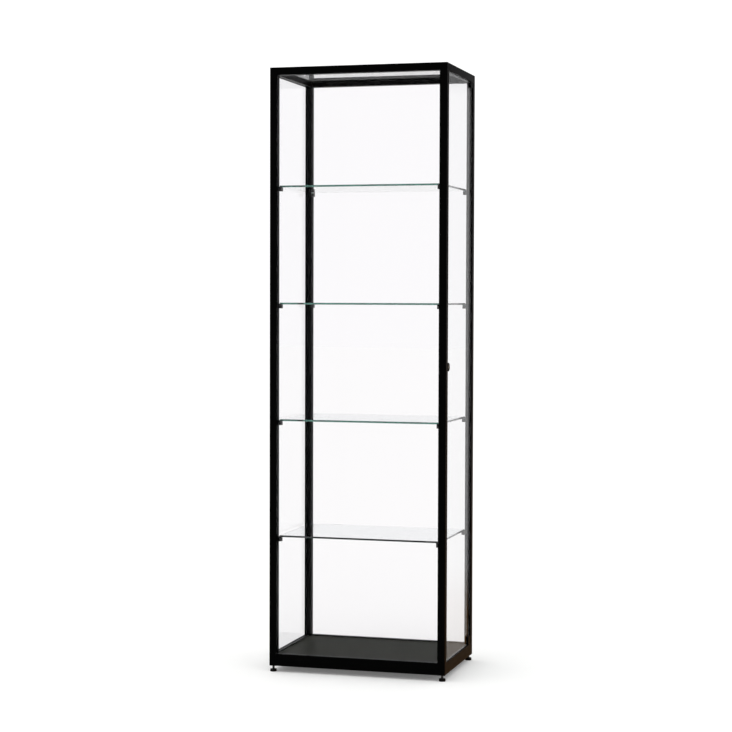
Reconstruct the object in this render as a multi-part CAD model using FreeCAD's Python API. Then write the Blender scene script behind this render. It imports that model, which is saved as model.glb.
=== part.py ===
"""Tall glass display cabinet: black square-section aluminium frame, glass on every side, a lockable
glass door on the right-hand side, four height-adjustable glass shelves on clips, and levelling feet.

Millimetres. +X to the right, the front face at -Y, +Z up. The origin is on the floor, below the centre.
Corner work is drawn at the front left corner, with u measured inwards from the left face and v inwards
from the front face, and is mirrored to the other corners.
"""

import FreeCAD
import Part
import math
import os

# Overall size
WIDTH = 600.0
DEPTH = 400.0
HEIGHT = 2000.0

# Frame
PROFILE = 25.0           # side of the square posts and top rails
BASE_BOTTOM = 20.0       # underside of the base, which the feet hold clear of the floor
BASE_TOP = 60.0          # top of the base rails
POST_TOP = HEIGHT - PROFILE
OUTER_RADIUS = 1.0       # rounding of the frame's outer edges
WALL = 2.0               # wall of the hollow rails

# Groove that holds a pane and its rubber channel, the same in posts and rails
PANE = 5.0
PANE_OUTER = 4.5         # outer face of the pane, inwards from the outside of the frame
SEAL = 0.8
GROOVE_NEAR = PANE_OUTER - SEAL
GROOVE_FAR = PANE_OUTER + PANE + SEAL
GROOVE_DEPTH = 6.5
PANE_BITE = 5.5          # how far the pane's edge reaches into the groove
PANE_MIDDLE = PANE_OUTER + PANE / 2

# T-slot in the inner side of each post, for the shelf clips
SLOT_MIDDLE = 20.5
SLOT_NECK = 4.6
SLOT_CHAMBER = 6.6
SLOT_LIP = 1.5
SLOT_CHAMBER_DEPTH = 4.0

# Round port that runs up the post and takes the top connector's dowel
PORT_MIDDLE = 6.5
PORT_RADIUS = 3.5

# Top rails: groove for the glass lid, cell for the corner connectors and a hollow below the groove
LID_TOP = HEIGHT - PANE_OUTER
LID_GROOVE = (HEIGHT - GROOVE_FAR, HEIGHT - GROOVE_NEAR)
HOLLOW_START = 13.0
CELL_NEAR = 3.0
CELL_FAR = 10.0
CELL_BOTTOM = POST_TOP + 9.0
CELL_TOP = POST_TOP + 17.0
CONNECTOR_LEG = 50.0
CONNECTOR_DOWEL = 30.0
FIT_GAP = 0.05

# Base: deck panel, spigots between rails and posts, corner brackets
DECK = 16.0
DECK_TOP = 57.0
DECK_BOTTOM = DECK_TOP - DECK
LEDGE_START = 18.5
DECK_GAP = 0.2
SPIGOT_BOTTOM = 37.0
SPIGOT_TOP = 50.0
SPIGOT_START = 20.6
SPIGOT_END = 50.0
LOWER_CELL_TOP = 34.5
BRACKET_LEG = 49.0
BRACKET_THICK = 3.0
BRACKET_BOTTOM = 22.0
BRACKET_TOP = 38.0
BRACKET_SCREW_Z = 29.0
BRACKET_SCREWS = (35.0, 44.0)   # along each leg, from the outside of the frame
SCREW_RADIUS = 2.0
SCREW_HEAD_RADIUS = 3.6
SCREW_HEAD = 2.2

# Feet
FOOT_MIDDLE = 11.0
FOOT_RADIUS = 11.0
FOOT_DISC = 9.5
FOOT_CHAMFER = 1.5
STUD_RADIUS = 4.0
STUD_BOTTOM = 3.0
STUD_TOP = 43.0
RUNNING_GAP = 0.05
INSERT_SIDE = 14.0
INSERT_HEIGHT = 15.0
STUD_WAY_RADIUS = 4.5
STUD_WAY_TOP = 53.0

# Shelves, counted from the lowest
SHELF_COUNT = 4
SHELF_PITCH = 387.0
LOWEST_SHELF = 453.0      # top of the lowest shelf
SHELF_GLASS = 6.0
SHELF_SIDE_GAP = 26.0    # from the side of the frame to the glass
SHELF_END_GAP = 27.0     # from the front of the frame to the glass
CLIP_GAP = 0.1
CLIP_INNER = 35.0
CLIP_FRONT = 17.0
CLIP_BACK = 33.0
CLIP_HEIGHT = 12.0
CLIP_STOP_BACK = 26.6
CLIP_STOP_RISE = 3.0
CLIP_PAD = 1.0
CLIP_ROUNDING = 0.8
CLIP_HEAD_SEAT = CLIP_INNER - SCREW_HEAD - 0.3   # face that the clip screw's head bears on
TNUT_LENGTH = 10.0

# Door
DOOR_GAP = 1.5           # between the glass and the posts
DOOR_BOTTOM = BASE_TOP + 2.0
DOOR_TOP = POST_TOP - 2.0
PIVOT_BACK = 34.5        # pivot axis, from the rear face of the frame
CLAMP_RADIUS = 6.75
CLAMP_LENGTH = 24.5
CLAMP_CLEARANCE = 1.0
CLAMP_LOW_HEIGHT = 28.0
CLAMP_HIGH_HEIGHT = 18.5
CLAMP_LOW_WEB = 9.0
CLAMP_HIGH_WEB = 8.0
CLAMP_PAD = 0.5
GRUB_RADIUS = 2.5
PIN_RADIUS = 3.0
PIN_REACH = 8.0
BUSH_RADIUS = 4.5
BUSH_LENGTH = 9.0
BUSH_FLANGE_RADIUS = 6.5
BUSH_FLANGE = 0.9
DOOR_STOP_BACK = 28.2    # the front seal's lip, which the closed door rests against
DOOR_STOP_INNER = 13.0
DOOR_STOP_OUTER = PANE_OUTER + PANE + 0.3

# Lock
LOCK_V = 40.5
LOCK_Z = 1020.0
LOCK_FLANGE_RADIUS = 14.0
LOCK_FLANGE_FACE = 0.3
LOCK_BARREL_RADIUS = 8.5
LOCK_BARREL_END = 25.5
LOCK_HOLE_RADIUS = 9.0
LOCK_NUT_RADIUS = 12.0
LOCK_NUT = 4.0
PLUG_RADIUS = 6.0
PLUG_FACE = 0.8
KEYWAY_WIDTH = 1.2
KEYWAY_HEIGHT = 7.5
KEYWAY_DEPTH = 12.0
CAM_FACE = 25.8
CAM_THICK = 2.5
CAM_LENGTH = 25.0
CAM_WIDTH = 12.0
CAM_SQUARE = 6.0
CAM_SCREW_HEAD = 2.5
CAM_SCREW_HEAD_RADIUS = 5.0

ALONG_X = FreeCAD.Vector(1, 0, 0)
ALONG_Y = FreeCAD.Vector(0, 1, 0)
ALONG_Z = FreeCAD.Vector(0, 0, 1)
ORIGIN = FreeCAD.Vector(0, 0, 0)
LEFT = -WIDTH / 2
FRONT = -DEPTH / 2


def inset_box(u_range, v_range, z_range):
    """A box between two distances from the left face, two from the front face, and two heights."""
    corner = FreeCAD.Vector(LEFT + u_range[0], FRONT + v_range[0], z_range[0])
    sides = [span[1] - span[0] for span in (u_range, v_range, z_range)]
    return Part.makeBox(*sides, corner)


def inset_ring(near, far, z_range):
    """A rectangular ring that follows the frame, between two distances from its outer faces."""
    outer = inset_box((near, WIDTH - near), (near, DEPTH - near), z_range)
    return outer.cut(inset_box((far, WIDTH - far), (far, DEPTH - far), z_range))


def upright(radius, u, v, z_range):
    """A vertical cylinder."""
    base = FreeCAD.Vector(LEFT + u, FRONT + v, z_range[0])
    return Part.makeCylinder(radius, z_range[1] - z_range[0], base, ALONG_Z)


def sideways(radius, u_range, v, z):
    """A cylinder along X."""
    base = FreeCAD.Vector(LEFT + u_range[0], FRONT + v, z)
    return Part.makeCylinder(radius, u_range[1] - u_range[0], base, ALONG_X)


def hexagon_bar(radius, u_range, v, z):
    """A six-sided bar along X, whose corners are at the given radius."""
    corners = []
    for step in range(7):
        angle = math.radians(60 * step)
        y = FRONT + v + radius * math.cos(angle)
        corners.append(FreeCAD.Vector(LEFT + u_range[0], y, z + radius * math.sin(angle)))
    return Part.Face(Part.makePolygon(corners)).extrude(ALONG_X * (u_range[1] - u_range[0]))


def swap_sides(shape):
    """The same piece on the other side of the corner's diagonal, with u and v exchanged."""
    corner = FreeCAD.Vector(LEFT, FRONT, 0)
    return shape.mirror(corner, FreeCAD.Vector(1, -1, 0))


def to_right(shape):
    return shape.mirror(ORIGIN, ALONG_X)


def to_rear(shape):
    return shape.mirror(ORIGIN, ALONG_Y)


def at_corners(shape):
    """The piece at the front left corner and its mirror images at the other three."""
    right = to_right(shape)
    return {
        "front_left": shape,
        "front_right": right,
        "rear_left": to_rear(shape),
        "rear_right": to_rear(right),
    }


def all_corners(*shapes):
    pieces = []
    for shape in shapes:
        pieces.extend(at_corners(shape).values())
    return pieces


def rounded(shape, radius, chosen):
    """The shape with the edges rounded whose middle point passes the test."""
    edges = [edge for edge in shape.Edges if chosen(edge.CenterOfMass)]
    return shape.makeFillet(radius, edges)


def near(value, target):
    return abs(value - target) < 0.01


def shelf_top(number):
    return LOWEST_SHELF + SHELF_PITCH * (number - 1)


# Frame ----------------------------------------------------------------------

def corner_post():
    """Square post: two pane grooves, the clips' T-slot, the dowel port and a pocket for the foot's insert."""
    whole = (BASE_BOTTOM, POST_TOP)
    post = inset_box((0, PROFILE), (0, PROFILE), whole)
    post = rounded(post, OUTER_RADIUS, lambda middle: near(middle.x, LEFT) and near(middle.y, FRONT))
    groove = inset_box((PROFILE - GROOVE_DEPTH, PROFILE), (GROOVE_NEAR, GROOVE_FAR), whole)
    neck = (SLOT_MIDDLE - SLOT_NECK / 2, SLOT_MIDDLE + SLOT_NECK / 2)
    chamber = (SLOT_MIDDLE - SLOT_CHAMBER / 2, SLOT_MIDDLE + SLOT_CHAMBER / 2)
    slot_floor = PROFILE - SLOT_LIP - SLOT_CHAMBER_DEPTH
    pocket_start = FOOT_MIDDLE - INSERT_SIDE / 2
    pocket = (pocket_start, pocket_start + INSERT_SIDE)
    cuts = [
        groove,
        swap_sides(groove),
        inset_box((PROFILE - SLOT_LIP, PROFILE), neck, whole),
        inset_box((slot_floor, PROFILE - SLOT_LIP), chamber, whole),
        upright(PORT_RADIUS, PORT_MIDDLE, PORT_MIDDLE, whole),
        inset_box(pocket, pocket, (BASE_BOTTOM, BASE_BOTTOM + INSERT_HEIGHT)),
        upright(STUD_WAY_RADIUS, FOOT_MIDDLE, FOOT_MIDDLE, (BASE_BOTTOM, STUD_WAY_TOP)),
    ]
    return post.cut(cuts)


def base_rail_front():
    """Base rail between two posts: pane groove on top, ledge for the deck, and a cell for the spigots."""
    along = (PROFILE, WIDTH - PROFILE)
    rail = inset_box(along, (0, PROFILE), (BASE_BOTTOM, BASE_TOP))
    rail = rounded(rail, OUTER_RADIUS, lambda middle: near(middle.y, FRONT) and near(middle.x, 0))
    cuts = [
        inset_box(along, (GROOVE_NEAR, GROOVE_FAR), (BASE_TOP - GROOVE_DEPTH, BASE_TOP)),
        inset_box(along, (LEDGE_START, PROFILE), (DECK_BOTTOM, BASE_TOP)),
        inset_box(along, (GROOVE_NEAR, GROOVE_FAR), (SPIGOT_BOTTOM, SPIGOT_TOP)),
        inset_box(along, (WALL, PROFILE - WALL), (BASE_BOTTOM + WALL, LOWER_CELL_TOP)),
    ]
    for position in BRACKET_SCREWS:
        hole = bracket_screw_shank(position)
        cuts.extend([hole, to_right(hole)])
    return rail.cut(cuts)


def base_rail_left():
    """The side rail has the front rail's section and the depth's length."""
    along = (PROFILE, DEPTH - PROFILE)
    rail = inset_box((0, PROFILE), along, (BASE_BOTTOM, BASE_TOP))
    rail = rounded(rail, OUTER_RADIUS, lambda middle: near(middle.x, LEFT) and near(middle.y, 0))
    cuts = [
        inset_box((GROOVE_NEAR, GROOVE_FAR), along, (BASE_TOP - GROOVE_DEPTH, BASE_TOP)),
        inset_box((LEDGE_START, PROFILE), along, (DECK_BOTTOM, BASE_TOP)),
        inset_box((GROOVE_NEAR, GROOVE_FAR), along, (SPIGOT_BOTTOM, SPIGOT_TOP)),
        inset_box((WALL, PROFILE - WALL), along, (BASE_BOTTOM + WALL, LOWER_CELL_TOP)),
    ]
    for position in BRACKET_SCREWS:
        hole = swap_sides(bracket_screw_shank(position))
        cuts.extend([hole, to_rear(hole)])
    return rail.cut(cuts)


def base_spigots():
    """Flat bars that join each rail's cell to the grooves of its two posts."""
    fit = (GROOVE_NEAR + FIT_GAP, GROOVE_FAR - FIT_GAP)
    bar = inset_box((SPIGOT_START, SPIGOT_END), fit, (SPIGOT_BOTTOM + FIT_GAP, SPIGOT_TOP - FIT_GAP))
    return all_corners(bar, swap_sides(bar))


def bracket_screw_shank(position):
    """Shank of a screw through the bracket's leg on the front rail, along Y."""
    base = FreeCAD.Vector(LEFT + position, FRONT + PROFILE - WALL, BRACKET_SCREW_Z)
    return Part.makeCylinder(SCREW_RADIUS, WALL + BRACKET_THICK, base, ALONG_Y)


def bracket_screw(position):
    face = FreeCAD.Vector(LEFT + position, FRONT + PROFILE + BRACKET_THICK, BRACKET_SCREW_Z)
    head = Part.makeCylinder(SCREW_HEAD_RADIUS, SCREW_HEAD, face, ALONG_Y)
    return head.fuse(bracket_screw_shank(position)).removeSplitter()


def corner_bracket():
    """Steel angle inside the base, screwed to the two rails that meet at the corner."""
    height = (BRACKET_BOTTOM, BRACKET_TOP)
    outer = inset_box((PROFILE, BRACKET_LEG), (PROFILE, BRACKET_LEG), height)
    inside = PROFILE + BRACKET_THICK
    bracket = outer.cut(inset_box((inside, BRACKET_LEG), (inside, BRACKET_LEG), height))
    holes = []
    for position in BRACKET_SCREWS:
        shank = bracket_screw_shank(position)
        holes.extend([shank, swap_sides(shank)])
    return bracket.cut(holes)


def bracket_screws():
    screws = []
    for position in BRACKET_SCREWS:
        screw = bracket_screw(position)
        screws.extend(all_corners(screw, swap_sides(screw)))
    return screws


def top_ring():
    """The four top rails before they are mitred apart."""
    ring = inset_box((0, WIDTH), (0, DEPTH), (POST_TOP, HEIGHT))

    def outer_edge(middle):
        on_side = near(abs(middle.x), WIDTH / 2)
        on_end = near(abs(middle.y), DEPTH / 2)
        return (on_side and on_end) or ((on_side or on_end) and near(middle.z, HEIGHT))

    ring = rounded(ring, OUTER_RADIUS, outer_edge)
    dowels = all_corners(upright(PORT_RADIUS, PORT_MIDDLE, PORT_MIDDLE, (POST_TOP, CELL_BOTTOM)))
    opening = inset_box((PROFILE, WIDTH - PROFILE), (PROFILE, DEPTH - PROFILE), (POST_TOP, HEIGHT))
    cuts = [
        opening,
        inset_ring(PROFILE - GROOVE_DEPTH, PROFILE, LID_GROOVE),
        inset_ring(GROOVE_NEAR, GROOVE_FAR, (POST_TOP, POST_TOP + GROOVE_DEPTH)),
        inset_ring(CELL_NEAR, CELL_FAR, (CELL_BOTTOM, CELL_TOP)),
        inset_ring(HOLLOW_START, PROFILE - WALL, (POST_TOP + WALL, LID_GROOVE[0] - WALL)),
    ]
    return ring.cut(cuts + dowels)


def mitre_wedge_front():
    """Everything in front of the two 45-degree mitre planes of the front rail."""
    reach = DEPTH / 2
    outline = [(LEFT, FRONT), (-LEFT, FRONT), (-LEFT - reach, 0), (LEFT + reach, 0), (LEFT, FRONT)]
    points = [FreeCAD.Vector(x, y, POST_TOP) for x, y in outline]
    return Part.Face(Part.makePolygon(points)).extrude(ALONG_Z * PROFILE)


def mitre_wedge_left():
    reach = DEPTH / 2
    outline = [(LEFT, FRONT), (LEFT + reach, 0), (LEFT, -FRONT), (LEFT, FRONT)]
    points = [FreeCAD.Vector(x, y, POST_TOP) for x, y in outline]
    return Part.Face(Part.makePolygon(points)).extrude(ALONG_Z * PROFILE)


def top_connector():
    """Cast elbow in the rails' cells, with a dowel down into the post's port."""
    across = (CELL_NEAR + FIT_GAP, CELL_FAR - FIT_GAP)
    tall = (CELL_BOTTOM + FIT_GAP, CELL_TOP - FIT_GAP)
    leg = inset_box((CELL_NEAR + FIT_GAP, CONNECTOR_LEG), across, tall)
    dowel_height = (POST_TOP - CONNECTOR_DOWEL, CELL_BOTTOM + 1)
    dowel = upright(PORT_RADIUS - FIT_GAP, PORT_MIDDLE, PORT_MIDDLE, dowel_height)
    return leg.fuse([swap_sides(leg), dowel]).removeSplitter()


def deck_panel():
    """Floor board of the cabinet, on the rails' ledge, notched round the posts."""
    start = LEDGE_START + DECK_GAP
    height = (DECK_BOTTOM, DECK_TOP)
    board = inset_box((start, WIDTH - start), (start, DEPTH - start), height)
    notch = inset_box((0, PROFILE + DECK_GAP), (0, PROFILE + DECK_GAP), height)
    return board.cut(all_corners(notch))


# Fixed glass ----------------------------------------------------------------------

PANE_START = PROFILE - PANE_BITE
PANE_HEIGHT = (BASE_TOP - PANE_BITE, POST_TOP + PANE_BITE)
CHANNEL_START = PROFILE - GROOVE_DEPTH
CHANNEL_HEIGHT = (BASE_TOP - GROOVE_DEPTH, POST_TOP + GROOVE_DEPTH)
LIGHT_HEIGHT = (BASE_TOP, POST_TOP)


def front_pane():
    return inset_box((PANE_START, WIDTH - PANE_START), (PANE_OUTER, PANE_OUTER + PANE), PANE_HEIGHT)


def left_pane():
    return inset_box((PANE_OUTER, PANE_OUTER + PANE), (PANE_START, DEPTH - PANE_START), PANE_HEIGHT)


def front_seal():
    """Rubber channel round the front pane, flush with the frame's inner edges."""
    across = (GROOVE_NEAR, GROOVE_FAR)
    channel = inset_box((CHANNEL_START, WIDTH - CHANNEL_START), across, CHANNEL_HEIGHT)
    opening = inset_box((PROFILE, WIDTH - PROFILE), across, LIGHT_HEIGHT)
    return channel.cut([opening, front_pane()])


def left_seal():
    across = (GROOVE_NEAR, GROOVE_FAR)
    channel = inset_box(across, (CHANNEL_START, DEPTH - CHANNEL_START), CHANNEL_HEIGHT)
    opening = inset_box(across, (PROFILE, DEPTH - PROFILE), LIGHT_HEIGHT)
    return channel.cut([opening, left_pane()])


def glass_lid():
    across = (PANE_START, WIDTH - PANE_START)
    return inset_box(across, (PANE_START, DEPTH - PANE_START), (LID_TOP - PANE, LID_TOP))


def lid_seal():
    return inset_ring(CHANNEL_START, PROFILE, LID_GROOVE).cut(glass_lid())


# Feet ----------------------------------------------------------------------

def foot_insert():
    start = FOOT_MIDDLE - INSERT_SIDE / 2
    height = (BASE_BOTTOM, BASE_BOTTOM + INSERT_HEIGHT)
    block = inset_box((start, start + INSERT_SIDE), (start, start + INSERT_SIDE), height)
    return block.cut(upright(STUD_RADIUS + RUNNING_GAP, FOOT_MIDDLE, FOOT_MIDDLE, height))


def foot_stud():
    stud = upright(STUD_RADIUS, FOOT_MIDDLE, FOOT_MIDDLE, (STUD_BOTTOM, STUD_TOP))
    ends = [edge for edge in stud.Edges if near(edge.CenterOfMass.z, STUD_TOP)]
    return stud.makeChamfer(0.8, ends)


def foot_disc():
    disc = upright(FOOT_RADIUS, FOOT_MIDDLE, FOOT_MIDDLE, (0, FOOT_DISC))
    rim = [edge for edge in disc.Edges if near(edge.CenterOfMass.z, FOOT_DISC)]
    disc = disc.makeChamfer(FOOT_CHAMFER, rim)
    return disc.cut(upright(STUD_RADIUS, FOOT_MIDDLE, FOOT_MIDDLE, (STUD_BOTTOM, FOOT_DISC)))


# Shelves ----------------------------------------------------------------------

def shelf_glass(top):
    across = (SHELF_SIDE_GAP, WIDTH - SHELF_SIDE_GAP)
    return inset_box(across, (SHELF_END_GAP, DEPTH - SHELF_END_GAP), (top - SHELF_GLASS, top))


def clip_top(top):
    return top - SHELF_GLASS - CLIP_PAD


def clip_screw_height(top):
    return clip_top(top) - CLIP_HEIGHT / 2


def shelf_clip(top):
    """Block clamped to the post, with a stop that the shelf's edge meets."""
    across = (PROFILE + CLIP_GAP, CLIP_INNER)
    block = inset_box(across, (CLIP_FRONT, CLIP_BACK), (clip_top(top) - CLIP_HEIGHT, clip_top(top)))
    stop_top = top - SHELF_GLASS + CLIP_STOP_RISE
    stop = inset_box(across, (CLIP_FRONT, CLIP_STOP_BACK), (clip_top(top), stop_top))
    clip = block.fuse(stop).removeSplitter()

    def inner_upright_edge(middle):
        return near(middle.x, LEFT + CLIP_INNER) and near(middle.y, FRONT + CLIP_FRONT)

    clip = rounded(clip, CLIP_ROUNDING, inner_upright_edge)
    height = clip_screw_height(top)
    sunk = (CLIP_HEAD_SEAT, CLIP_INNER)
    recess = sideways(SCREW_HEAD_RADIUS + 0.2, sunk, SLOT_MIDDLE, height)
    hole = sideways(SCREW_RADIUS + 0.1, across, SLOT_MIDDLE, height)
    return clip.cut([recess, hole])


def clip_pad(top):
    across = (SHELF_SIDE_GAP + 0.5, CLIP_INNER - 0.5)
    return inset_box(across, (SHELF_END_GAP + 0.3, CLIP_BACK - 0.5), (clip_top(top), top - SHELF_GLASS))


def clip_screw(top):
    """Socket-head screw through the clip into its T-nut."""
    height = clip_screw_height(top)
    head_end = CLIP_HEAD_SEAT + SCREW_HEAD
    shank_end = PROFILE - SLOT_LIP - SLOT_CHAMBER_DEPTH + 0.4
    head = sideways(SCREW_HEAD_RADIUS, (CLIP_HEAD_SEAT, head_end), SLOT_MIDDLE, height)
    shank = sideways(SCREW_RADIUS, (shank_end, CLIP_HEAD_SEAT), SLOT_MIDDLE, height)
    socket = hexagon_bar(1.6, (head_end - 1.4, head_end), SLOT_MIDDLE, height)
    return head.fuse(shank).removeSplitter().cut(socket)


def clip_tnut(top):
    height = clip_screw_height(top)
    floor = PROFILE - SLOT_LIP - SLOT_CHAMBER_DEPTH
    deep = (floor + 0.2, PROFILE - SLOT_LIP - 0.2)
    half = SLOT_CHAMBER / 2 - 0.2
    wide = (SLOT_MIDDLE - half, SLOT_MIDDLE + half)
    nut = inset_box(deep, wide, (height - TNUT_LENGTH / 2, height + TNUT_LENGTH / 2))
    return nut.cut(sideways(SCREW_RADIUS, deep, SLOT_MIDDLE, height))


# Door ----------------------------------------------------------------------
# Drawn on the left side, with the pivot at the rear, and mirrored to the right.

PIVOT_V = DEPTH - PIVOT_BACK
CLAMP_BOTTOM = BASE_TOP + CLAMP_CLEARANCE
CLAMP_TOP = POST_TOP - CLAMP_CLEARANCE
NOTCH_FRONT = PIVOT_V - CLAMP_LENGTH - 1.0
LOW_WEB_TOP = CLAMP_BOTTOM + CLAMP_LOW_WEB
HIGH_WEB_BOTTOM = CLAMP_TOP - CLAMP_HIGH_WEB
GRUB_PLACES = (PIVOT_V - 7.0, PIVOT_V - 18.0)


def door_glass():
    """Tempered pane, notched at the rear corners for the pivot clamps and bored for the lock."""
    across = (PANE_OUTER, PANE_OUTER + PANE)
    edge = PROFILE + DOOR_GAP
    pane = inset_box(across, (edge, DEPTH - edge), (DOOR_BOTTOM, DOOR_TOP))
    low_notch = inset_box(across, (NOTCH_FRONT, DEPTH), (BASE_BOTTOM, LOW_WEB_TOP + 0.5))
    high_notch = inset_box(across, (NOTCH_FRONT, DEPTH), (HIGH_WEB_BOTTOM - 0.5, HEIGHT))
    return pane.cut([low_notch, high_notch, sideways(LOCK_HOLE_RADIUS, across, LOCK_V, LOCK_Z)])


def pivot_clamp(z_range, slot_range, grub_z):
    """Block round the pane's corner, rounded about the pivot so that it turns clear of the post."""
    across = (PANE_MIDDLE - CLAMP_RADIUS, PANE_MIDDLE + CLAMP_RADIUS)
    front = PIVOT_V - CLAMP_LENGTH
    block = inset_box(across, (front, PIVOT_V), z_range)
    block = block.fuse(upright(CLAMP_RADIUS, PANE_MIDDLE, PIVOT_V, z_range)).removeSplitter()

    def front_upright_edge(middle):
        return near(middle.y, FRONT + front) and near(middle.z, sum(z_range) / 2)

    block = rounded(block, 1.5, front_upright_edge)
    slot = (PANE_OUTER - CLAMP_PAD, PANE_OUTER + PANE + CLAMP_PAD)
    cuts = [
        inset_box(slot, (front - 1, PIVOT_V + 2 * CLAMP_RADIUS), slot_range),
        upright(PIN_RADIUS, PANE_MIDDLE, PIVOT_V, z_range),
    ]
    for place in GRUB_PLACES:
        cuts.append(sideways(GRUB_RADIUS, (slot[1], across[1]), place, grub_z))
    return block.cut(cuts)


LOW_CLAMP = (CLAMP_BOTTOM, CLAMP_BOTTOM + CLAMP_LOW_HEIGHT)
HIGH_CLAMP = (CLAMP_TOP - CLAMP_HIGH_HEIGHT, CLAMP_TOP)
LOW_SLOT = (LOW_WEB_TOP, LOW_CLAMP[1])
HIGH_SLOT = (HIGH_CLAMP[0], HIGH_WEB_BOTTOM)
LOW_GRUB_Z = sum(LOW_SLOT) / 2
HIGH_GRUB_Z = sum(HIGH_SLOT) / 2


def clamp_pads():
    """Fibre strips between the clamps' cheeks and both faces of the glass."""
    pads = []
    along = (PIVOT_V - CLAMP_LENGTH + 2, PIVOT_V)
    for slot in (LOW_SLOT, HIGH_SLOT):
        height = (slot[0] + 1, slot[1] - 1)
        pads.append(inset_box((PANE_OUTER - CLAMP_PAD, PANE_OUTER), along, height))
        pads.append(inset_box((PANE_OUTER + PANE, PANE_OUTER + PANE + CLAMP_PAD), along, height))
    return pads


def clamp_screws():
    """Grub screws in the inner cheeks, which press the pane against the outer ones."""
    screws = []
    start = PANE_OUTER + PANE + CLAMP_PAD
    end = PANE_MIDDLE + CLAMP_RADIUS - 0.3
    for height in (LOW_GRUB_Z, HIGH_GRUB_Z):
        for place in GRUB_PLACES:
            grub = sideways(GRUB_RADIUS, (start, end), place, height)
            screws.append(grub.cut(hexagon_bar(1.4, (end - 2, end), place, height)))
    return screws


def pivot_pins():
    low = upright(PIN_RADIUS, PANE_MIDDLE, PIVOT_V, (BASE_TOP - PIN_REACH, LOW_WEB_TOP))
    high = upright(PIN_RADIUS, PANE_MIDDLE, PIVOT_V, (HIGH_WEB_BOTTOM, POST_TOP + PIN_REACH))
    return [low, high]


LOW_BUSH = (BASE_TOP - BUSH_LENGTH, BASE_TOP)
HIGH_BUSH = (POST_TOP, POST_TOP + BUSH_LENGTH)


def bush_sockets():
    return [upright(BUSH_RADIUS, PANE_MIDDLE, PIVOT_V, span) for span in (LOW_BUSH, HIGH_BUSH)]


def pivot_bushes():
    """Flanged bronze bushes, pressed into the right-hand base and top rails."""
    bushes = []
    low_flange = (BASE_TOP, BASE_TOP + BUSH_FLANGE)
    high_flange = (POST_TOP - BUSH_FLANGE, POST_TOP)
    for body, flange in ((LOW_BUSH, low_flange), (HIGH_BUSH, high_flange)):
        bush = upright(BUSH_RADIUS, PANE_MIDDLE, PIVOT_V, body)
        bush = bush.fuse(upright(BUSH_FLANGE_RADIUS, PANE_MIDDLE, PIVOT_V, flange)).removeSplitter()
        whole = (min(body[0], flange[0]), max(body[1], flange[1]))
        bushes.append(bush.cut(upright(PIN_RADIUS + RUNNING_GAP, PANE_MIDDLE, PIVOT_V, whole)))
    return bushes


def door_seals():
    """Rubber fillers in the grooves round the door; the front one's lip stops the closed door."""
    across = (GROOVE_NEAR, GROOVE_FAR)
    depth = (CHANNEL_START, PROFILE)
    front = inset_box(across, depth, LIGHT_HEIGHT)
    lip = inset_box((DOOR_STOP_OUTER, DOOR_STOP_INNER), (PROFILE, DOOR_STOP_BACK), LIGHT_HEIGHT)
    bridge = inset_box((DOOR_STOP_OUTER, GROOVE_FAR), (PROFILE - 1, PROFILE), LIGHT_HEIGHT)
    front = front.fuse([lip, bridge]).removeSplitter()
    rear = to_rear(inset_box(across, depth, LIGHT_HEIGHT))
    along = (PROFILE, DEPTH - PROFILE)
    strips = [front, rear]
    for height in ((BASE_TOP - GROOVE_DEPTH, BASE_TOP), (POST_TOP, POST_TOP + GROOVE_DEPTH)):
        strip = inset_box(across, along, height).cut(bush_sockets())
        strips.extend(strip.Solids)
    return strips


# Lock ----------------------------------------------------------------------

def lock_housing():
    """Round rose outside the glass and a barrel through it."""
    rose = sideways(LOCK_FLANGE_RADIUS, (LOCK_FLANGE_FACE, PANE_OUTER), LOCK_V, LOCK_Z)
    rim = [edge for edge in rose.Edges if near(edge.CenterOfMass.x, LEFT + LOCK_FLANGE_FACE)]
    rose = rose.makeFillet(1.2, rim)
    barrel = sideways(LOCK_BARREL_RADIUS, (PANE_OUTER, LOCK_BARREL_END), LOCK_V, LOCK_Z)
    bore = sideways(PLUG_RADIUS + RUNNING_GAP, (LOCK_FLANGE_FACE, LOCK_BARREL_END), LOCK_V, LOCK_Z)
    return rose.fuse(barrel).removeSplitter().cut(bore)


def lock_nut():
    inner_face = PANE_OUTER + PANE
    span = (inner_face, inner_face + LOCK_NUT)
    nut = hexagon_bar(LOCK_NUT_RADIUS, span, LOCK_V, LOCK_Z)
    return nut.cut(sideways(LOCK_BARREL_RADIUS, span, LOCK_V, LOCK_Z))


def cam_screw_shank():
    return sideways(SCREW_RADIUS, (CAM_FACE - 6, CAM_FACE + CAM_THICK), LOCK_V, LOCK_Z)


def lock_plug():
    """Turning cylinder with a keyway in its face and a square for the cam at its inner end."""
    body = sideways(PLUG_RADIUS, (PLUG_FACE, CAM_FACE), LOCK_V, LOCK_Z)
    half = CAM_SQUARE / 2
    drive_v = (LOCK_V - half, LOCK_V + half)
    drive = inset_box((CAM_FACE, CAM_FACE + CAM_THICK), drive_v, (LOCK_Z - half, LOCK_Z + half))
    key_v = (LOCK_V - KEYWAY_WIDTH / 2, LOCK_V + KEYWAY_WIDTH / 2)
    key_z = (LOCK_Z - KEYWAY_HEIGHT / 2, LOCK_Z + KEYWAY_HEIGHT / 2)
    keyway = inset_box((PLUG_FACE, PLUG_FACE + KEYWAY_DEPTH), key_v, key_z)
    return body.fuse(drive).removeSplitter().cut([keyway, cam_screw_shank()])


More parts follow.
